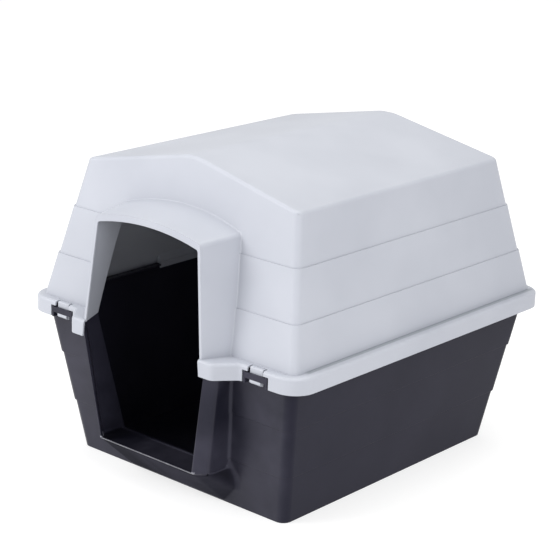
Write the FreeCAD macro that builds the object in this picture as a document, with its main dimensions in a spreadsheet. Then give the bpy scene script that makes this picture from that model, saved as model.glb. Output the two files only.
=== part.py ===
# Moulded animal shelter in two halves: a dark tub with a floor and a low doorway, and a light
# gabled roof shell that drops over the rim of the tub and snaps on with four spring fingers.
# Units are millimetres. +X is the right side seen from the doorway, the doorway faces -Y, +Z is up,
# and the ground is z = 0. The doorway is centred on x = 0.
import FreeCAD, Part
import Sketcher
import os

os.makedirs("parts", exist_ok=True)
V = FreeCAD.Vector
ROT = FreeCAD.Rotation

doc = FreeCAD.newDocument("shelter")

# ---------------------------------------------------------------- driving dimensions
sheet = doc.addObject("Spreadsheet::Sheet", "Dimensions")
DRIVING = [
    # tub
    ("tub_foot_hx", 277.6),      # half width of the tub at the ground
    ("tub_foot_hy", 325.2),      # half depth of the tub at the ground
    ("tub_slope", 0.157),        # outward lean of each tub board, mm per mm of height
    ("tub_step", 2.0),           # each higher tub board stands this much further out
    ("tub_board_a", 103.0),      # height of the lower board line
    ("tub_board_b", 208.0),      # height of the upper board line
    ("rim_z", 326.0),            # top of the tub rim
    ("rim_lip", 10.0),           # width of the lip turned out at the rim
    ("rim_lip_t", 4.0),          # thickness of that lip
    ("floor_t", 4.0),            # thickness of the floor
    ("tub_wall", 3.5),           # wall thickness of the tub
    ("tub_corner", 20.0),        # radius of the tub's upright corners
    # porch of the tub
    ("sill_z", 87.0),            # top edge of the sill
    ("porch_floor_z", 80.0),     # level of the flat just behind the sill
    ("porch_foot_hx", 147.0),    # half width over the porch at the sill
    ("porch_rim_hx", 184.0),     # half width over the porch at the rim
    ("porch_sill_y", 419.5),     # reach of the porch in front of the centre at the sill
    ("porch_rim_y", 433.0),      # reach of the porch at the rim
    ("door_sill_hx", 123.0),     # half width of the doorway at the sill
    ("door_rim_hx", 165.0),      # half width of the doorway at the rim
    ("cheek", 20.0),             # size of the angled cheek each side of the doorway
    ("cove", 7.0),               # radius of the cove where the porch meets the wall
    ("apron_cove", 14.0),        # radius of the cove below the sill
    ("apron_foot_hx", 190.0),    # half width of the apron under the sill at the ground
    ("apron_cheek_foot_hx", 128.0),
    ("apron_soft", 14.0),        # rounding of its creases
    ("seat_w", 9.0),             # width of the seat turned in along the front half of each side
    ("seat_end_y", 57.0),        # the seat ends this far in front of the middle
    # roof shell
    ("ledge_z", 330.0),          # top of the ledge round the foot of the roof
    ("skirt_z", 297.3),          # bottom edge of the skirt that hangs over the rim
    ("ledge_hx", 360.0),         # half width over the skirt
    ("ledge_hy", 400.0),         # half depth over the skirt
    ("ledge_corner", 47.0),      # plan radius of the skirt corners
    ("ledge_round", 6.0),        # rounding between the ledge and the skirt
    ("roof_foot_hx", 337.3),     # half width of the roof wall at the ledge
    ("roof_foot_hy", 380.8),     # half depth of the roof wall at the ledge
    ("roof_slope_x", 0.195),     # inward lean of the side boards
    ("roof_slope_y", 0.221),     # inward lean of the end boards
    ("roof_step", 2.0),          # each lower roof board stands this much further out
    ("roof_board_a", 417.0),     # height of the lower lap line
    ("roof_board_b", 514.0),     # height of the upper lap line
    ("eave_z", 611.2),           # height of the eaves
    ("ridge_z", 664.5),          # height of the ridge
    ("ridge_flat", 16.0),        # half width of the soft flat on the ridge
    ("roof_wall", 3.5),          # wall thickness of the roof shell
    ("skirt_t", 3.5),            # thickness of the skirt
    ("ledge_t", 3.8),            # thickness of the ledge
    ("roof_corner", 16.0),       # radius of the roof's upright corners
    # hood over the doorway
    ("hood_foot_hx", 158.0),     # half width of the hood front at the ledge
    ("hood_head_hx", 137.0),     # half width of the hood front where its arch starts
    ("hood_head_z", 543.5),      # height where the arch of the hood front starts
    ("hood_top_z", 561.0),       # crown of the hood front
    ("hood_y", 434.5),           # reach of the hood front at the ledge
    ("hood_lean", 3.2),          # backward lean of the hood front, degrees
    ("hood_back_foot_hx", 218.0),
    ("hood_back_head_hx", 157.5),
    ("hood_back_head_z", 550.5),
    ("hood_back_top_z", 577.5),
    ("hood_back_y", 300.0),
    ("hood_cove", 3.0),          # radius of the cove where the hood meets the wall
    ("arch_hx", 131.5),          # half width of the doorway where its arch starts
    ("arch_z", 531.0),           # height where the arch of the doorway starts
    ("arch_top_z", 547.5),       # crown of the doorway
    ("arch_foot_hx", 156.0),     # half width of the doorway at the skirt
    # skirt round the porch
    ("apron_front_y", 440.5),    # reach of the skirt in front of the porch
    ("apron_front_hx", 186.5),   # half width of its front
    ("apron_side_hx", 222.0),    # half width where it meets the straight skirt
    # snap latches
    ("latch_x", 259.0),          # distance of each latch from the centre line
    ("notch_w", 64.0),           # width of the notch in the skirt
    ("notch_z", 320.5),          # top of the notch
    ("finger_w", 31.0),          # width of the spring finger
    ("finger_t", 3.2),           # thickness of the spring finger
    ("slot_w", 3.8),             # width of the slot each side of the finger
    ("finger_root_y", 386.0),    # where the finger leaves the ledge
    ("finger_front_y", 396.0),   # outer face of the finger
    ("bar_low_z", 306.5),        # underside of the keeper bar
    ("bar_high_z", 318.0),       # top of the keeper bar
    ("bar_t", 3.6),              # thickness of the keeper bar
    ("keeper_w", 58.0),          # width over the keeper posts
    ("post_w", 4.5),             # width of each keeper post
    ("keeper_low_z", 296.5),     # underside of the keeper
    ("keeper_high_z", 319.5),    # top of the keeper posts
    ("hook_h", 8.2),             # height of the hook under the bar
    ("gap", 0.4),                # running clearance between separate pieces
]
for row, (alias, value) in enumerate(DRIVING, start=1):
    sheet.set("A%d" % row, alias)
    sheet.set("B%d" % row, repr(value))
    sheet.setAlias("B%d" % row, alias)
doc.recompute()


def dim(alias):
    return float(sheet.get(alias))


def bind(obj, **rules):
    """Tie properties of an object to formulas written with the sheet's aliases."""
    for prop, rule in rules.items():
        for alias in sorted((a for a, _ in DRIVING), key=len, reverse=True):
            rule = rule.replace("{" + alias + "}", "Dimensions." + alias)
        obj.setExpression(prop.replace("__", "."), rule)
    return obj


def block(name, low, high, foot, head):
    """Tapered block. foot and head are (half width, front y, back y) at heights low and high."""
    obj = doc.addObject("Part::Wedge", name)
    obj.Placement = FreeCAD.Placement(V(0, 0, 0), ROT(V(1, 0, 0), 90))
    bind(obj, Ymin=low, Ymax=high,
         Xmin="-(%s)" % foot[0], Xmax=foot[0], Zmin="-(%s)" % foot[2], Zmax="-(%s)" % foot[1],
         X2min="-(%s)" % head[0], X2max=head[0], Z2min="-(%s)" % head[2], Z2max="-(%s)" % head[1])
    return obj


def even_block(name, low, high, foot, head):
    """Tapered block that is the same at the front and the back: foot and head are (hx, hy)."""
    return block(name, low, high, (foot[0], "-(%s)" % foot[1], foot[1]),
                 (head[0], "-(%s)" % head[1], head[1]))


def box(name, x, y, z):
    """Plain box from three (low, high) pairs of formulas."""
    obj = doc.addObject("Part::Box", name)
    bind(obj, Length="(%s) - (%s)" % (x[1], x[0]), Width="(%s) - (%s)" % (y[1], y[0]),
         Height="(%s) - (%s)" % (z[1], z[0]),
         Placement__Base__x=x[0], Placement__Base__y=y[0], Placement__Base__z=z[0])
    return obj


def upright(edge):
    return abs(edge.Vertexes[0].Z - edge.Vertexes[-1].Z) > 1.0


def rounded(name, base, radius, pick=upright):
    """Fillet the edges of base that pick accepts."""
    doc.recompute()
    obj = doc.addObject("Part::Fillet", name)
    obj.Base = base
    obj.Edges = [(i, radius, radius) for i, e in enumerate(base.Shape.Edges, start=1) if pick(e)]
    return obj


def join(name, *parts):
    obj = doc.addObject("Part::MultiFuse", name)
    obj.Shapes = list(parts)
    obj.Refine = True
    return obj


def cut(name, base, *tools):
    """Take the tools out of the base one after the other."""
    for number, tool in enumerate(tools, start=1):
        obj = doc.addObject("Part::Cut", name if number == len(tools) else "%s_%d" % (name, number))
        obj.Base, obj.Tool = base, tool
        base = obj
    return base


def mirrored(name, source, normal):
    obj = doc.addObject("Part::Mirroring", name)
    obj.Source, obj.Base, obj.Normal = source, V(0, 0, 0), normal
    return obj


def arched(name, y, lean, foot_z, foot_hx, head_z, head_hx, top_z):
    """Closed outline in an upright plane: flat foot, two straight sides and an arched top."""
    sk = doc.addObject("Sketcher::SketchObject", name)
    sk.Placement = FreeCAD.Placement(V(0, 0, 0), ROT(V(1, 0, 0), 90))
    hx0, hx1, z0, z1, z2 = 150.0, 130.0, 300.0, 500.0, 540.0
    radius = (hx1 ** 2 + (z2 - z1) ** 2) / (2 * (z2 - z1))
    arc = Part.Arc(V(hx1, z1, 0), V(0, z2, 0), V(-hx1, z1, 0))
    sk.addGeometry([Part.LineSegment(V(-hx0, z0, 0), V(hx0, z0, 0)),
                    Part.LineSegment(V(hx0, z0, 0), V(hx1, z1, 0)),
                    arc,
                    Part.LineSegment(V(-hx1, z1, 0), V(-hx0, z0, 0))], False)
    con = Sketcher.Constraint
    sk.addConstraint([con("Coincident", 0, 2, 1, 1), con("Coincident", 1, 2, 2, 1),
                      con("Coincident", 2, 2, 3, 1), con("Coincident", 3, 2, 0, 1),
                      con("Symmetric", 0, 1, 0, 2, -2), con("Symmetric", 1, 2, 3, 1, -2)])
    named = [("foot", con("DistanceX", 0, 1, 0, 2, 2 * hx0), "2 * (%s)" % foot_hx),
             ("head", con("DistanceX", 3, 1, 1, 2, 2 * hx1), "2 * (%s)" % head_hx),
             ("low", con("DistanceY", -1, 1, 0, 2, z0), foot_z),
             ("high", con("DistanceY", -1, 1, 1, 2, z1), head_z),
             ("bow", con("Radius", 2, radius),
              "((%s)^2 + ((%s) - (%s))^2) / (2 * ((%s) - (%s)))" % (head_hx, top_z, head_z, top_z, head_z))]
    for label, constraint, rule in named:
        number = sk.addConstraint(constraint)
        sk.renameConstraint(number, label)
    for label, constraint, rule in named:
        bind(sk, **{"Constraints__" + label: rule})
    bind(sk, Placement__Base__y="-(%s)" % y)
    if lean:
        # the outline leans back about the line where it meets the ledge
        bind(sk, Placement__Rotation__Angle="90 - {hood_lean}",
             Placement__Base__y="-(%s) - {ledge_z} * sin({hood_lean})" % y,
             Placement__Base__z="{ledge_z} * (1 - cos({hood_lean}))")
    return sk


def outline(name, z, points):
    """Closed level outline from the corners of its right half, which is mirrored to the left."""
    sk = doc.addObject("Sketcher::SketchObject", name)
    right = [V(100.0 - 10.0 * i, -100.0 - 10.0 * i, 0) for i in range(len(points))]
    ring = right + [V(-p.x, p.y, 0) for p in reversed(right)]
    count = len(ring)
    sk.addGeometry([Part.LineSegment(ring[i], ring[(i + 1) % count]) for i in range(count)], False)
    con = Sketcher.Constraint
    sk.addConstraint([con("Coincident", i, 2, (i + 1) % count, 1) for i in range(count)]
                     + [con("Symmetric", i, 1, count - 1 - i, 1, -2) for i in range(len(points))])
    for i, (x, y) in enumerate(points):
        for kind, start, rule in (("DistanceX", right[i].x, x), ("DistanceY", right[i].y, y)):
            number = sk.addConstraint(con(kind, -1, 1, i, 1, start))
            sk.renameConstraint(number, "%s%d" % (kind[-1].lower(), i))
    for i, (x, y) in enumerate(points):
        bind(sk, **{"Constraints__x%d" % i: x, "Constraints__y%d" % i: y})
    return bind(sk, Placement__Base__z=z)


def loft(name, *sections):
    obj = doc.addObject("Part::Loft", name)
    obj.Sections, obj.Solid, obj.Ruled = list(sections), True, True
    return obj


# ---------------------------------------------------------------- tub
def tub_at(z, steps, extra=""):
    """Half width and half depth of the tub's outer face at height z."""
    grow = "{tub_slope} * (%s) + %d * {tub_step}%s" % (z, steps, extra)
    return ("{tub_foot_hx} + " + grow, "{tub_foot_hy} + " + grow)


def porch_at(z):
    """Half width and reach of the porch at height z."""
    share = "((%s) - {sill_z}) / ({rim_z} - {sill_z})" % z
    return ("{porch_foot_hx} + ({porch_rim_hx} - {porch_foot_hx}) * " + share,
            "{porch_sill_y} + ({porch_rim_y} - {porch_sill_y}) * " + share)


def value(rule):
    """Number that a formula of aliases comes to."""
    for alias in sorted((a for a, _ in DRIVING), key=len, reverse=True):
        rule = rule.replace("{" + alias + "}", repr(dim(alias)))
    return FreeCAD.Units.Quantity(rule).Value


def bevelled(name, base, size):
    """Cut the two upright front corners of the porch to an angle."""
    doc.recompute()
    obj = doc.addObject("Part::Chamfer", name)
    obj.Base = base
    obj.Edges = [(i, size, size) for i, e in enumerate(base.Shape.Edges, start=1)
                 if upright(e) and max(v.Y for v in e.Vertexes) < -dim("tub_foot_hy") - 1]
    return obj


CORNER = dim("tub_corner")
# the apron under the sill fans out from the porch down to the straight foot of the wall
apron_side_y = "({apron_foot_hx} - {apron_cheek_foot_hx} - {tub_foot_hy})"
apron = loft("Apron",
             outline("ApronFoot", "0", [("{apron_foot_hx}", apron_side_y + " + 20"),
                                        ("{apron_foot_hx}", apron_side_y),
                                        ("{apron_cheek_foot_hx}", "-{tub_foot_hy}")]),
             outline("ApronTop", "{sill_z}", [("{porch_foot_hx}", apron_side_y + " + 20"),
                                              ("{porch_foot_hx}", "{cheek} - {porch_sill_y}"),
                                              ("{porch_foot_hx} - {cheek}", "-{porch_sill_y}")]))
creases = rounded("ApronSoft", apron, dim("apron_soft"),
                  lambda e: upright(e) and max(v.Y for v in e.Vertexes) < value(apron_side_y) + 5)

levels = []
for n, (low, high) in enumerate([("0", "{tub_board_a}"), ("{tub_board_a}", "{tub_board_b}"),
                                 ("{tub_board_b}", "{rim_z}")]):
    raw = even_block("TubBoard%d" % n, low, high, tub_at(low, n), tub_at(high, n))
    board = rounded("TubBoard%dRounded" % n, raw, CORNER)
    porch_low = low if n else "{sill_z}"
    (foot_x, foot_y), (head_x, head_y) = porch_at(porch_low), porch_at(high)
    porch = block("Porch%d" % n, porch_low, high, (foot_x, "-(%s)" % foot_y, "-300"),
                  (head_x, "-(%s)" % head_y, "-300"))
    porch = bevelled("Porch%dCheeks" % n, porch, dim("cheek"))
    porch = rounded("Porch%dRounded" % n, porch, dim("apron_soft"),
                    lambda e: upright(e) and -420 < min(v.Y for v in e.Vertexes) < -dim("tub_foot_hy")
                    and all(abs(v.Y) < value(porch_at(str(v.Z))[1]) - 1 for v in e.Vertexes))
    level = join("TubLevel%d" % n, *([board, porch] + ([] if n else [creases])))
    doc.recompute()
    soft = doc.addObject("Part::Fillet", "TubLevel%dSoft" % n)
    soft.Base = level
    sizes = []
    for i, e in enumerate(level.Shape.Edges, start=1):
        ends = sorted([e.Vertexes[0].Point, e.Vertexes[-1].Point], key=lambda p: p.z)
        if any(p.y > 0 or abs(p.x) > 230 for p in ends) or not (upright(e) or ends[0].z > 0.5):
            continue
        if any(abs(-p.y - value(tub_at(str(p.z), n)[1])) > 0.5 for p in ends):
            continue
        if ends[0].z > dim("sill_z") - 1:
            sizes.append((i, dim("cove"), dim("cove")))
        elif n == 0 and ends[1].z < dim("sill_z") + 1:
            sizes.append((i, dim("apron_cove"), dim("apron_cove")))
    soft.Edges = sizes
    levels.append(soft)

lip_low = "({rim_z} - {rim_lip_t})"
lip = even_block("RimLip", lip_low, "{rim_z}", tub_at(lip_low, 2, " + {rim_lip}"),
                 tub_at("{rim_z}", 2, " + {rim_lip}"))
lip = rounded("RimLipRounded", lip, CORNER + dim("rim_lip"))

tub_body = join("TubBody", *(levels + [lip]))

# the inside of the tub: one smooth hollow, the porch above its floor, and the space under it
rim_hx, rim_hy = tub_at("{rim_z}", 2)
lean_x = "((%s) - {tub_foot_hx}) / {rim_z}" % rim_hx
inside = even_block("TubHollow", "{floor_t}", "{rim_z} + 2",
                    ("{tub_foot_hx} - {tub_wall} + {floor_t} * " + lean_x,
                     "{tub_foot_hy} - {tub_wall} + {floor_t} * " + lean_x),
                    ("{tub_foot_hx} - {tub_wall} + ({rim_z} + 2) * " + lean_x,
                     "{tub_foot_hy} - {tub_wall} + ({rim_z} + 2) * " + lean_x))
inside = rounded("TubHollowRounded", inside, CORNER - dim("tub_wall"))
porch_hollow = block("PorchHollow", "{porch_floor_z}", "{rim_z} + 2",
                     ("{porch_foot_hx} - {tub_wall}", "{tub_wall} - {porch_sill_y}", "-310"),
                     ("{porch_rim_hx} - {tub_wall}", "{tub_wall} - {porch_rim_y}", "-310"))
porch_hollow = bevelled("PorchHollowCheeks", porch_hollow, dim("cheek"))
doorway = block("TubDoorway", "{sill_z}", "{rim_z} + 2", ("{door_sill_hx}", "-460", "-380"),
                ("{door_rim_hx}", "-460", "-380"))
under_top = "({porch_floor_z} - {tub_wall})"
under = block("UnderPorch", "{floor_t}", under_top,
              ("{apron_cheek_foot_hx} - 28", "1 - {tub_foot_hy}", "-310"),
              ("{porch_foot_hx} - {cheek} - 6", "17 - {porch_sill_y}", "-310"))
lip_cuts = []
for name, side, end in (("FL", -1, -1), ("FR", 1, -1), ("RL", -1, 1), ("RR", 1, 1)):
    near, far = "({finger_root_y} - 4)", "({finger_front_y})"
    lip_cuts.append(box("LipNotch" + name,
                        ("%d * {latch_x} - {keeper_w} / 2" % side, "%d * {latch_x} + {keeper_w} / 2" % side),
                        (near, far) if end > 0 else ("-" + far, "-" + near),
                        (lip_low + " - 2", "{rim_z} + 2")))
tub_shell = cut("TubShell", tub_body, inside, porch_hollow, doorway, under, *lip_cuts)
# a seat turned in along the front half of each side rim
seat_in = "(%s - {tub_wall} - {seat_w})" % rim_hx
seats = [box("Seat" + name, x, ("100 - {tub_foot_hy}", "-{seat_end_y}"), ("{rim_z} - 3", "{rim_z}"))
         for name, x in (("Right", (seat_in, rim_hx + " - 1")), ("Left", ("1 - (%s)" % rim_hx, "-" + seat_in)))]
base_tub = join("Tub", tub_shell, *seats)

# ---------------------------------------------------------------- roof shell
def roof_at(z, steps, extra=""):
    """Half width and half depth of the roof's outer face at height z."""
    rise = "((%s) - {ledge_z})" % z
    return ("{roof_foot_hx} - {roof_slope_x} * %s - %d * {roof_step}%s" % (rise, steps, extra),
            "{roof_foot_hy} - {roof_slope_y} * %s - %d * {roof_step}%s" % (rise, steps, extra))


ROOF_CORNER = dim("roof_corner")
roof_parts = []
for n, (low, high) in enumerate([("{ledge_z} - 2", "{roof_board_a}"), ("{roof_board_a}", "{roof_board_b}")]):
    raw = even_block("RoofBoard%d" % n, low, high, roof_at(low, n), roof_at(high, n))
    roof_parts.append(rounded("RoofBoard%dRounded" % n, raw, ROOF_CORNER))
top_board = even_block("RoofBoard2", "{roof_board_b}", "{eave_z}",
                       roof_at("{roof_board_b}", 2), roof_at("{eave_z}", 2))
gable_foot = roof_at("{eave_z}", 2)
gable = even_block("Gable", "{eave_z}", "{ridge_z}", gable_foot,
                   ("{ridge_flat}", roof_at("{ridge_z}", 2)[1]))
top = join("TopBoardAndGable", top_board, gable)
doc.recompute()
top_rounded = doc.addObject("Part::Fillet", "TopRounded")
top_rounded.Base = top
sizes = []
for i, e in enumerate(top.Shape.Edges, start=1):
    zs = sorted(v.Z for v in e.Vertexes)
    if zs[1] < dim("roof_board_b") + 1:
        continue                                     # foot of the board
    if zs[0] < dim("roof_board_b") + 1:
        sizes.append((i, ROOF_CORNER, ROOF_CORNER))  # upright corners
    elif zs[0] > dim("ridge_z") - 1 and abs(e.Vertexes[0].Y - e.Vertexes[1].Y) > 100:
        sizes.append((i, 90.0, 90.0))                # soft ridge
    elif zs[1] < dim("eave_z") + 1:
        sizes.append((i, 10.0, 10.0))                # eaves
    else:
        sizes.append((i, 8.0, 8.0))                  # gable edges
top_rounded.Edges = sizes
roof_parts.append(top_rounded)

# the ledge and skirt round the foot of the roof, with its bay round the porch
skirt = box("Skirt", ("-{ledge_hx}", "{ledge_hx}"), ("-{ledge_hy}", "{ledge_hy}"),
            ("{skirt_z}", "{ledge_z}"))
skirt = rounded("SkirtRounded", skirt, dim("ledge_corner"))
skirt_hollow = box("SkirtHollow", ("{skirt_t} - {ledge_hx}", "{ledge_hx} - {skirt_t}"),
                   ("{skirt_t} - {ledge_hy}", "{ledge_hy} - {skirt_t}"),
                   ("{skirt_z} - 5", "{ledge_z} - {ledge_t}"))
skirt_hollow = rounded("SkirtHollowRounded", skirt_hollow, dim("ledge_corner") - dim("skirt_t"))


def bay(name, front_hx, front_y, back_hx, back_y, low, high):
    """Upright prism with a flat front that widens towards the back."""
    obj = doc.addObject("Part::Wedge", name)
    return bind(obj, Xmin="-(%s)" % front_hx, Xmax=front_hx, Ymin=front_y, Ymax=back_y,
                X2min="-(%s)" % back_hx, X2max=back_hx, Zmin=low, Zmax=high, Z2min=low, Z2max=high)


flare = "(({apron_side_hx} - {apron_front_hx}) / ({apron_front_y} - {ledge_hy}))"
bay_outer = bay("SkirtBay", "{apron_front_hx}", "-{apron_front_y}", "{apron_side_hx} + 5 * " + flare,
                "5 - {ledge_hy}", "{skirt_z}", "{ledge_z}")
bay_outer = rounded("SkirtBayRounded", bay_outer, 14.0,
                    lambda e: upright(e) and e.Vertexes[0].Y < -dim("ledge_hy"))
bay_hollow = bay("SkirtBayHollow", "{apron_front_hx} - 0.45 * {skirt_t}", "{skirt_t} - {apron_front_y}",
                 "{apron_side_hx} - 1.33 * {skirt_t} + 12 * " + flare, "12 - {ledge_hy}",
                 "{skirt_z} - 5", "{ledge_z} - {ledge_t}")
flange = join("Flange", skirt, bay_outer)
flange = rounded("FlangeBayCorners", flange, 12.0,
                 lambda e: upright(e) and abs(abs(e.Vertexes[0].X) - dim("apron_side_hx")) < 2
                 and abs(e.Vertexes[0].Y + dim("ledge_hy")) < 2)
flange = rounded("FlangeRounded", flange, dim("ledge_round"),
                 lambda e: min(v.Z for v in e.Vertexes) > dim("ledge_z") - 0.1)

# the hood: a tapering arched tunnel from the doorway back into the front wall
hood_front = arched("HoodFront", "{hood_y}", True, "{ledge_z} - 2", "{hood_foot_hx}",
                    "{hood_head_z}", "{hood_head_hx}", "{hood_top_z}")
hood_back = arched("HoodBack", "{hood_back_y}", False, "{ledge_z} - 2", "{hood_back_foot_hx}",
                   "{hood_back_head_z}", "{hood_back_head_hx}", "{hood_back_top_z}")
hood = loft("Hood", hood_back, hood_front)


def hood_edges(edge):
    """The two long edges between the arched top of the hood and its sides."""
    a, b = edge.Vertexes[0].Point, edge.Vertexes[-1].Point
    return abs(a.y - b.y) > 50 and min(a.z, b.z) > dim("ledge_z") + 50


hood = rounded("HoodRounded", hood, 11.0, hood_edges)
# the hood grows out of each board with a cove along the join
soft_levels = []
for n, (low, high) in enumerate([("{ledge_z} - 2", "{roof_board_a}"), ("{roof_board_a}", "{roof_board_b}"),
                                 ("{roof_board_b}", "{ridge_z}")]):
    slab = box("HoodSlab%d" % n, ("-300", "300"), ("-500", "-{hood_back_y}"), (low, high))
    part = doc.addObject("Part::Common", "HoodPart%d" % n)
    part.Base, part.Tool = hood, slab
    level = join("RoofLevel%d" % n, roof_parts[n], part)
    doc.recompute()
    soft = doc.addObject("Part::Fillet", "RoofLevel%dSoft" % n)
    soft.Base = level
    sizes = []
    for i, e in enumerate(level.Shape.Edges, start=1):
        spots = [e.valueAt(e.FirstParameter + (e.LastParameter - e.FirstParameter) * t) for t in (0, 0.5, 1)]
        on_wall = all(abs(-p.y - value(roof_at(str(p.z), n)[1])) < 0.5 and abs(p.x) < 230 for p in spots)
        at_line = max(p.z for p in spots) - min(p.z for p in spots) < 0.5 and (
            abs(spots[0].z - value(low)) < 0.5 or abs(spots[0].z - value(high)) < 0.5)
        if on_wall and not at_line:
            sizes.append((i, dim("hood_cove"), dim("hood_cove")))
    soft.Edges = sizes
    soft_levels.append(soft)
tunnel_front = arched("TunnelFront", "{hood_y} - {roof_wall}", True, "{ledge_z} - 10",
                      "{hood_foot_hx} - {roof_wall}", "{hood_head_z} - 0.7 * {roof_wall}",
                      "{hood_head_hx} - {roof_wall}", "{hood_top_z} - {roof_wall}")
tunnel_back = arched("TunnelBack", "{hood_back_y} - 20", False, "{ledge_z} - 10",
                     "{hood_back_foot_hx} - {roof_wall} + 8", "{hood_back_head_z} - 0.7 * {roof_wall} + 2",
                     "{hood_back_head_hx} - {roof_wall} + 3", "{hood_back_top_z} - {roof_wall} + 2")
tunnel = loft("Tunnel", tunnel_back, tunnel_front)
tunnel = rounded("TunnelRounded", tunnel, 7.5, hood_edges)

door_outline = arched("DoorOutline", "460", False, "{skirt_z} - 5", "{arch_foot_hx}",
                      "{arch_z}", "{arch_hx}", "{arch_top_z}")
door = doc.addObject("Part::Extrusion", "RoofDoorway")
door.Base, door.DirMode, door.Solid = door_outline, "Custom", True
door.Dir, door.LengthFwd = V(0, 1, 0), 55.0
door = rounded("RoofDoorwayRounded", door, 6.0,
               lambda e: abs(e.Vertexes[0].Y - e.Vertexes[-1].Y) > 50
               and e.Vertexes[0].Z > dim("ledge_z") + 50)

# the inside of the roof
inside_foot = "({ledge_z} - 10)"
inside_head = "({eave_z} - 3.3)"
in_x = "(({roof_foot_hx} - {roof_slope_x} * ({eave_z} - {ledge_z}) - 2 * {roof_step} - {roof_wall}"
in_y = "(({roof_foot_hy} - {roof_slope_y} * ({eave_z} - {ledge_z}) - 2 * {roof_step} - {roof_wall}"
fall_x = "({roof_slope_x} + 2 * {roof_step} / ({eave_z} - {ledge_z}))"
fall_y = "({roof_slope_y} + 2 * {roof_step} / ({eave_z} - {ledge_z}))"


def room_at(z):
    """Half width and half depth of the room inside the roof at height z."""
    return (in_x + ") + " + fall_x + " * ({eave_z} - (" + z + ")))",
            in_y + ") + " + fall_y + " * ({eave_z} - (" + z + ")))")


room = even_block("Room", inside_foot, inside_head, room_at(inside_foot), room_at(inside_head))
room = rounded("RoomRounded", room, ROOF_CORNER - dim("roof_wall"))
loft_space = even_block("RoomUnderRidge", inside_head, "{ridge_z} - {roof_wall} - 0.2",
                        room_at(inside_head), ("{ridge_flat}", room_at("{ridge_z}")[1]))

roof_body = join("RoofBody", *(soft_levels + [flange]))
latch_cuts = []
for name, side, end in (("FL", -1, -1), ("FR", 1, -1), ("RL", -1, 1), ("RR", 1, 1)):
    at_x = "(%d * {latch_x})" % side

    def span(low, high, end=end):
        """A front-to-back span, measured outwards from the middle of the object."""
        return (("-(%s)" % high, "-(%s)" % low) if end < 0 else (low, high))

    notch = box("Notch" + name, (at_x + " - {notch_w} / 2", at_x + " + {notch_w} / 2"),
                span("{ledge_hy} - {skirt_t} - 1", "{ledge_hy} + 5"), ("{skirt_z} - 5", "{notch_z}"))
    half = "({finger_w} / 2 + {slot_w})"
    slots = box("Slots" + name, (at_x + " - " + half, at_x + " + " + half),
                span("{finger_root_y}", "{ledge_hy} + 5"), ("{skirt_z} - 5", "{ledge_z} + 5"))
    latch_cuts += [notch, slots]
roof_hollow = cut("RoofHollow", roof_body, skirt_hollow, bay_hollow, room, loft_space, tunnel, door,
                  *latch_cuts)
# a lip on the rear half of each side that drops just inside the rim of the tub
lip_out = "(%s - {tub_wall} - 3)" % rim_hx
lip_in = "(%s - 3)" % lip_out
lip_low_y, lip_high_y = "{gap} * 3 - {seat_end_y}", "{tub_foot_hy} - 25"
wall_in = room_at("{ledge_z} + 16")[0]
guides = []
for name, side in (("Right", 1), ("Left", -1)):
    span_x = (lip_in, lip_out) if side > 0 else ("-" + lip_out, "-" + lip_in)
    guides.append(box("Guide" + name, span_x, (lip_low_y, lip_high_y), ("{rim_z} - 9", "{ledge_z}")))
    slope = doc.addObject("Part::Wedge", "GuideSlope" + name)
    slope.Placement = FreeCAD.Placement(V(0, 0, 0), ROT(V(1, 0, 0), 90))
    low_x = (lip_in, rim_hx + " + 3") if side > 0 else ("-(%s + 3)" % rim_hx, "-" + lip_in)
    high_x = (wall_in, wall_in + " + 1") if side > 0 else ("-(%s) - 1" % wall_in, "-(%s)" % wall_in)
    bind(slope, Xmin=low_x[0], Xmax=low_x[1], X2min=high_x[0], X2max=high_x[1],
         Ymin="{ledge_z} - 3.6", Ymax="{ledge_z} + 16",
         Zmin="-(%s)" % lip_high_y, Zmax="-(%s)" % lip_low_y,
         Z2min="-(%s)" % lip_high_y, Z2max="-(%s)" % lip_low_y)
    guides.append(slope)
roof_shell = join("RoofShell", roof_hollow, *guides)

# ---------------------------------------------------------------- fingers and keepers, front right
def moved_block(name, low, high, foot, head):
    """Tapered block centred on the latch instead of on the middle of the object."""
    return bind(block(name, low, high, foot, head), Placement__Base__x="{latch_x}")


finger_half = "({finger_w} / 2)"
lo_x, hi_x = "{latch_x} - " + finger_half, "{latch_x} + " + finger_half
pivot_y = "(-{finger_root_y} - {gap} - {ledge_t} / 2)"
pivot_z = "({ledge_z} - {ledge_t} / 2)"
finger_root = box("FingerRoot", (lo_x, hi_x), ("-{finger_front_y}", pivot_y),
                  ("{ledge_z} - {ledge_t}", "{ledge_z}"))
finger_pivot = doc.addObject("Part::Cylinder", "FingerPivot")
finger_pivot.Placement = FreeCAD.Placement(V(0, 0, 0), ROT(V(0, 1, 0), 90))
bind(finger_pivot, Radius="{ledge_t} / 2", Height="{finger_w}", Placement__Base__x=lo_x,
     Placement__Base__y=pivot_y, Placement__Base__z=pivot_z)
finger_strip = box("FingerStrip", (lo_x, hi_x), ("-{finger_front_y}", "{finger_t} - {finger_front_y}"),
                   ("{bar_low_z} - {hook_h}", "{ledge_z}"))
hook_out = "({finger_front_y} + {gap} + {bar_t})"
hook_mid = "{bar_low_z} - {hook_h} + 3"
hook_half = "({finger_w} / 2 - 2.5)"
finger_hook = box("FingerHook", ("{latch_x} - " + hook_half, "{latch_x} + " + hook_half),
                  ("-" + hook_out, "1 - {finger_front_y}"), (hook_mid, "{bar_low_z} - {gap}"))
finger_lead = moved_block("FingerLead", "{bar_low_z} - {hook_h}", hook_mid,
                          (hook_half, "-{finger_front_y} - 1", "1 - {finger_front_y}"),
                          (hook_half, "-" + hook_out, "1 - {finger_front_y}"))
finger = join("Finger", finger_root, finger_pivot, finger_strip, finger_hook, finger_lead)
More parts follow.
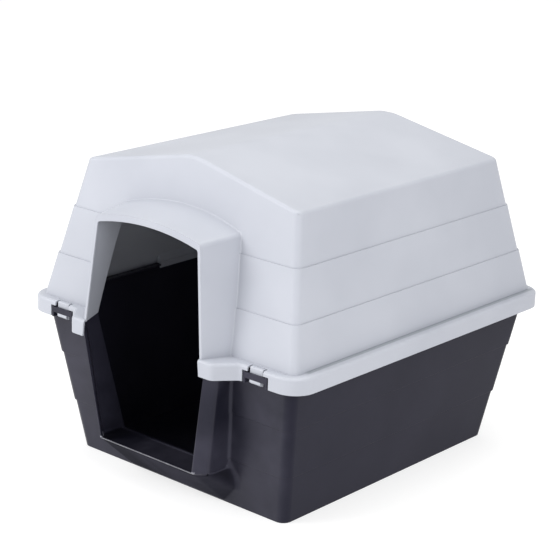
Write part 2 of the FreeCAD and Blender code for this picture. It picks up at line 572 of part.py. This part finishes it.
finger = rounded("FingerRounded", finger, 3.0,
                 lambda e: abs(e.Vertexes[0].X - e.Vertexes[-1].X) > 10
                 and min(v.Z for v in e.Vertexes) > dim("ledge_z") - 0.1
                 and max(v.Y for v in e.Vertexes) < -dim("finger_front_y") + 0.1)

keeper_front = "(" + hook_out + ")"
post_mid = "(({keeper_w} - {post_w}) / 2)"


def wall_y(z):
    """Back face of the keeper, just clear of the leaning wall of the tub."""
    return "-(" + tub_at(z, 2, " + {gap} / 4")[1] + ")"


posts = []
for name, side in (("Inner", -1), ("Outer", 1)):
    post = block("KeeperPost" + name, "{keeper_low_z}", "{keeper_high_z}",
                 ("{post_w} / 2", "-" + keeper_front, wall_y("{keeper_low_z}")),
                 ("{post_w} / 2", "-" + keeper_front, wall_y("{keeper_high_z}")))
    posts.append(bind(post, Placement__Base__x="{latch_x} + %d * %s" % (side, post_mid)))
bar = box("KeeperBar", ("{latch_x} - {keeper_w} / 2", "{latch_x} + {keeper_w} / 2"),
          ("-" + keeper_front, "{bar_t} - " + keeper_front), ("{bar_low_z}", "{bar_high_z}"))
keeper = join("Keeper", *(posts + [bar]))

# the other three of each are mirror copies
finger_rr = mirrored("FingerRR", finger, V(0, 1, 0))
keeper_rr = mirrored("KeeperRR", keeper, V(0, 1, 0))
NODES = {
    "base_tub": base_tub,
    "roof_shell": roof_shell,
    "finger_front_right": finger,
    "finger_front_left": mirrored("FingerFL", finger, V(1, 0, 0)),
    "finger_rear_right": finger_rr,
    "finger_rear_left": mirrored("FingerRL", finger_rr, V(1, 0, 0)),
    "keeper_front_right": keeper,
    "keeper_front_left": mirrored("KeeperFL", keeper, V(1, 0, 0)),
    "keeper_rear_right": keeper_rr,
    "keeper_rear_left": mirrored("KeeperRL", keeper_rr, V(1, 0, 0)),
}
doc.recompute()

for obj in doc.Objects:
    if "Invalid" in obj.State or "Error" in obj.State:
        raise RuntimeError("%s did not rebuild: %s" % (obj.Name, obj.State))
for label, obj in NODES.items():
    shape = obj.Shape
    if shape.isNull() or not shape.isValid() or len(shape.Solids) != 1:
        raise RuntimeError("%s is not one sound solid (%d)" % (label, len(shape.Solids)))
for label, obj in NODES.items():
    obj.Label = label
    obj.Shape.exportStep("parts/%s.step" % label)
    bb = obj.Shape.BoundBox
    print("%-20s %8.1f cm3  x %.1f %.1f  y %.1f %.1f  z %.1f %.1f" % (
        label, obj.Shape.Volume / 1000.0, bb.XMin, bb.XMax, bb.YMin, bb.YMax, bb.ZMin, bb.ZMax))
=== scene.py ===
import math

import bpy
from mathutils import Matrix, Vector

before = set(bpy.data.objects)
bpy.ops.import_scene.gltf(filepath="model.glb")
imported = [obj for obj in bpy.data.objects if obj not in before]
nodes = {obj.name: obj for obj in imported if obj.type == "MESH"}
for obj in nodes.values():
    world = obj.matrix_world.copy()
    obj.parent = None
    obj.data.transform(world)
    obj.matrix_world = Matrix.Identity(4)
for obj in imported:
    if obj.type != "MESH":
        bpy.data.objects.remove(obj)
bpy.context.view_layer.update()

# places on the object, in metres from the row's origin
TUB_FOOT_X, TUB_FOOT_Y = 0.2776, 0.3252     # half width and half depth of the tub at the ground
WALL_LEAN = 0.157                           # outward lean of the tub's walls per metre of height
SILL_HALF, SILL_Y, SILL_Z = 0.132, 0.4195, 0.087    # front edge of the sill
RIM_Z = 0.326                               # top of the tub's rim
ROOF_FOOT_X, LEDGE_Z = 0.3373, 0.330        # where the long walls of the roof meet the ledge


# ---------------------------------------------------------------- materials
class Nodes:
    """Short way to build a node tree."""

    def __init__(self, name):
        self.material = bpy.data.materials.new(name)
        self.material.use_nodes = True
        self.tree = self.material.node_tree
        self.shader = self.tree.nodes["Principled BSDF"]
        self.position = self.add("ShaderNodeTexCoord").outputs["Object"]
        axes = self.add("ShaderNodeSeparateXYZ", {"Vector": self.position}).outputs
        self.side = self.maths("ABSOLUTE", axes["X"], 0.0)
        self.depth, self.height = axes["Y"], axes["Z"]

    def add(self, kind, inputs=(), **props):
        node = self.tree.nodes.new(kind)
        for key, value in props.items():
            setattr(node, key, value)
        for key, value in dict(inputs).items():
            if isinstance(value, bpy.types.NodeSocket):
                self.tree.links.new(value, node.inputs[key])
            else:
                node.inputs[key].default_value = value
        return node

    def noise(self, scale, detail, rough, distortion=0.0):
        inputs = {"Vector": self.position, "Scale": scale, "Detail": detail, "Roughness": rough,
                  "Distortion": distortion}
        return self.add("ShaderNodeTexNoise", inputs).outputs["Fac"]

    def spread(self, value, low, high, to_low=0.0, to_high=1.0):
        node = self.add("ShaderNodeMapRange", {"Value": value, "From Min": low, "From Max": high,
                                               "To Min": to_low, "To Max": to_high})
        return node.outputs["Result"]

    def maths(self, operation, a, b):
        return self.add("ShaderNodeMath", {0: a, 1: b}, operation=operation).outputs[0]

    def mix(self, factor, a, b):
        node = self.add("ShaderNodeMix", {0: factor, 6: a, 7: b}, data_type="RGBA")
        return node.outputs[2]

    def product(self, *values):
        total = values[0]
        for value in values[1:]:
            total = self.maths("MULTIPLY", total, value)
        return total

    def within(self, value, low, high, soft):
        """1 between low and high, fading out over soft on both sides."""
        rise = self.spread(value, low - soft, low)
        fall = self.spread(value, high, high + soft, 1.0, 0.0)
        return self.product(rise, fall)

    def patch(self, side, depth, height):
        """1 in a box on both sides of the middle plane, each range given as low, high and fade."""
        return self.product(self.within(self.side, *side), self.within(self.depth, *depth),
                            self.within(self.height, *height))

    def rounded_edges(self, radius):
        return self.add("ShaderNodeBevel", {"Radius": radius}, samples=4).outputs["Normal"]

    def bump(self, height, strength, distance, normal):
        inputs = {"Height": height, "Strength": strength, "Distance": distance, "Normal": normal}
        return self.add("ShaderNodeBump", inputs).outputs["Normal"]

    def set(self, **inputs):
        for key, value in inputs.items():
            key = key.replace("_", " ")
            if isinstance(value, bpy.types.NodeSocket):
                self.tree.links.new(value, self.shader.inputs[key])
            else:
                self.shader.inputs[key].default_value = value


def roof_plastic():
    n = Nodes("roof_plastic")
    cloud = n.noise(5.0, 3.0, 0.5)
    colour = n.mix(n.spread(cloud, 0.35, 0.65), (0.405, 0.420, 0.470, 1), (0.440, 0.455, 0.505, 1))
    normal = n.bump(n.noise(7.0, 1.0, 0.4), 0.25, 0.004, n.rounded_edges(0.0012))
    normal = n.bump(n.noise(700.0, 2.0, 0.6), 0.14, 0.0006, normal)
    # painted shade: ambient occlusion darkens the boards where they step and where the ledge meets them
    unoccluded = n.add("ShaderNodeAmbientOcclusion", {"Distance": 0.025}, samples=6).outputs["AO"]
    colour = n.mix(n.spread(unoccluded, 0.25, 0.85), (0.30, 0.315, 0.36, 1), colour)
    # and a painted shadow lies darkest along the ledge, at the foot of the long sides
    ledge_shadow = n.patch((ROOF_FOOT_X - 0.0018, ROOF_FOOT_X + 0.0067, 0.0015), (-0.345, 0.375, 0.01),
                     (LEDGE_Z - 0.0015, LEDGE_Z + 0.0015, 0.0008))
    colour = n.mix(n.product(ledge_shadow, 0.85), colour, (0.25, 0.27, 0.30, 1))
    n.set(Base_Color=colour, Roughness=n.spread(cloud, 0.3, 0.7, 0.46, 0.54), Normal=normal)
    return n.material


def tub_plastic():
    n = Nodes("tub_plastic")
    lean = n.product(n.height, WALL_LEAN)
    sides = n.spread(n.maths("SUBTRACT", n.side, lean), TUB_FOOT_X - 0.0156, TUB_FOOT_X)
    in_front = n.product(n.maths("ADD", n.depth, lean), -1.0)
    apron = n.product(n.spread(in_front, TUB_FOOT_Y + 0.0006, TUB_FOOT_Y + 0.0068),
                      n.within(n.height, -0.01, SILL_Z - 0.005, 0.004))
    # the cloud varies roughness and bump, and its colour is a painted sheen: lighter patches of
    # reflection, cloudy at the front and nearly even on the long sides
    cloud = n.maths("SUBTRACT", n.noise(6.0, 4.0, 0.55, distortion=0.4), 0.5)
    cloud = n.maths("ADD", n.product(cloud, n.spread(sides, 0.0, 1.0, 1.0, 0.2)), 0.5)
    colour = n.mix(n.spread(cloud, 0.35, 0.65), (0.009, 0.009, 0.016, 1), (0.030, 0.029, 0.043, 1))
    # a painted highlight: a pale line along the top of the rim, where its edge catches the light, broken
    # up by noise
    edge_highlight = n.patch((0.320, 0.334, 0.003), (-0.30, -0.08, 0.03), (RIM_Z - 0.0008, RIM_Z + 0.0008, 0.0005))
    edge_highlight = n.product(edge_highlight, n.spread(n.noise(90.0, 4.0, 0.7), 0.35, 0.65, 0.25, 1.0))
    colour = n.mix(edge_highlight, colour, (0.10, 0.10, 0.12, 1))
    # a painted highlight along the front edge of the sill, where its rounded edge catches the light
    edge_highlight = n.patch((-SILL_HALF, SILL_HALF, 0.008), (-0.440, 0.0022 - SILL_Y, 0.0006),
                   (SILL_Z - 0.0022, SILL_Z + 0.003, 0.0008))
    edge_highlight = n.product(edge_highlight, n.spread(n.noise(60.0, 3.0, 0.6), 0.3, 0.65, 0.45, 1.0))
    colour = n.mix(edge_highlight, colour, (0.30, 0.30, 0.34, 1))
    normal = n.bump(cloud, 0.45, 0.003, n.rounded_edges(0.0016))
    normal = n.bump(n.noise(600.0, 2.0, 0.6), 0.08, 0.0005, normal)
    # the apron is shaded as one soft sweep, close to the lean of the wall
    soft = n.add("ShaderNodeMix", {0: n.product(apron, 0.8), 4: normal, 5: (0.0, -0.988, -0.155)},
                 data_type="VECTOR").outputs[1]
    normal = n.add("ShaderNodeVectorMath", {0: soft}, operation="NORMALIZE").outputs[0]
    # the apron and the long sides are scuffed duller than the front wall
    shine = n.spread(n.maths("MAXIMUM", apron, sides), 0.0, 1.0, 0.27, 0.06)
    n.set(Base_Color=colour, Roughness=n.spread(cloud, 0.35, 0.65, 0.28, 0.42), Normal=normal,
          Specular_IOR_Level=shine, Specular_Tint=(0.82, 0.82, 1.0, 1))
    return n.material


ROOF, TUB = roof_plastic(), tub_plastic()
for name, obj in nodes.items():
    material = TUB if name == "base_tub" or name.startswith("keeper") else ROOF
    obj.data.materials.clear()
    obj.data.materials.append(material)


# ---------------------------------------------------------------- floor, light and camera
def floor():
    mesh = bpy.data.meshes.new("floor")
    half = 80.0
    corners = [(-half, -half, 0), (half, -half, 0), (half, half, 0), (-half, half, 0)]
    mesh.from_pydata(corners, [], [(0, 1, 2, 3)])
    obj = bpy.data.objects.new("floor", mesh)
    obj.location.z = -0.0005
    bpy.context.scene.collection.objects.link(obj)
    n = Nodes("floor")
    n.set(Base_Color=(0.42, 0.42, 0.42, 1), Roughness=0.9, Emission_Color=(1, 1, 1, 1),
          Emission_Strength=0.68)
    mesh.materials.append(n.material)


def area_light(name, place, target, size, power, colour=(1, 1, 1)):
    data = bpy.data.lights.new(name, "AREA")
    data.shape, data.size, data.energy, data.color = "DISK", size, power, colour
    obj = bpy.data.objects.new(name, data)
    obj.location = place
    obj.rotation_euler = (Vector(target) - Vector(place)).to_track_quat("-Z", "Y").to_euler()
    bpy.context.scene.collection.objects.link(obj)


floor()
area_light("key", (-1.6, -2.9, 2.1), (0, 0, 0.35), 2.0, 77)
area_light("top", (0.2, 0.2, 3.4), (0, 0, 0.4), 2.6, 52, (1.0, 1.0, 0.96))
area_light("right", (3.0, -1.3, 1.7), (0, 0, 0.35), 1.4, 34, (0.96, 0.97, 1.0))

world = bpy.data.worlds.new("World")
bpy.context.scene.world = world
world.use_nodes = True
world.node_tree.nodes["Background"].inputs["Color"].default_value = (1, 1, 1, 1)
world.node_tree.nodes["Background"].inputs["Strength"].default_value = 0.68

camera_data = bpy.data.cameras.new("camera")
camera_data.sensor_width = 36.0
camera_data.lens = 115.93
camera_data.clip_end = 400.0
camera = bpy.data.objects.new("camera", camera_data)
azimuth, elevation, roll = (math.radians(a) for a in (40.53, 17.54, 1.98))
back = Vector((math.sin(azimuth) * math.cos(elevation), -math.cos(azimuth) * math.cos(elevation),
               math.sin(elevation)))
camera.rotation_mode = "QUATERNION"
camera.rotation_quaternion = back.to_track_quat("Z", "Y") @ Matrix.Rotation(roll, 3, "Z").to_quaternion()
camera.location = (2.2879, -2.7121, 1.4732)
bpy.context.scene.collection.objects.link(camera)
bpy.context.scene.camera = camera
bpy.context.scene.view_settings.view_transform = "Standard"
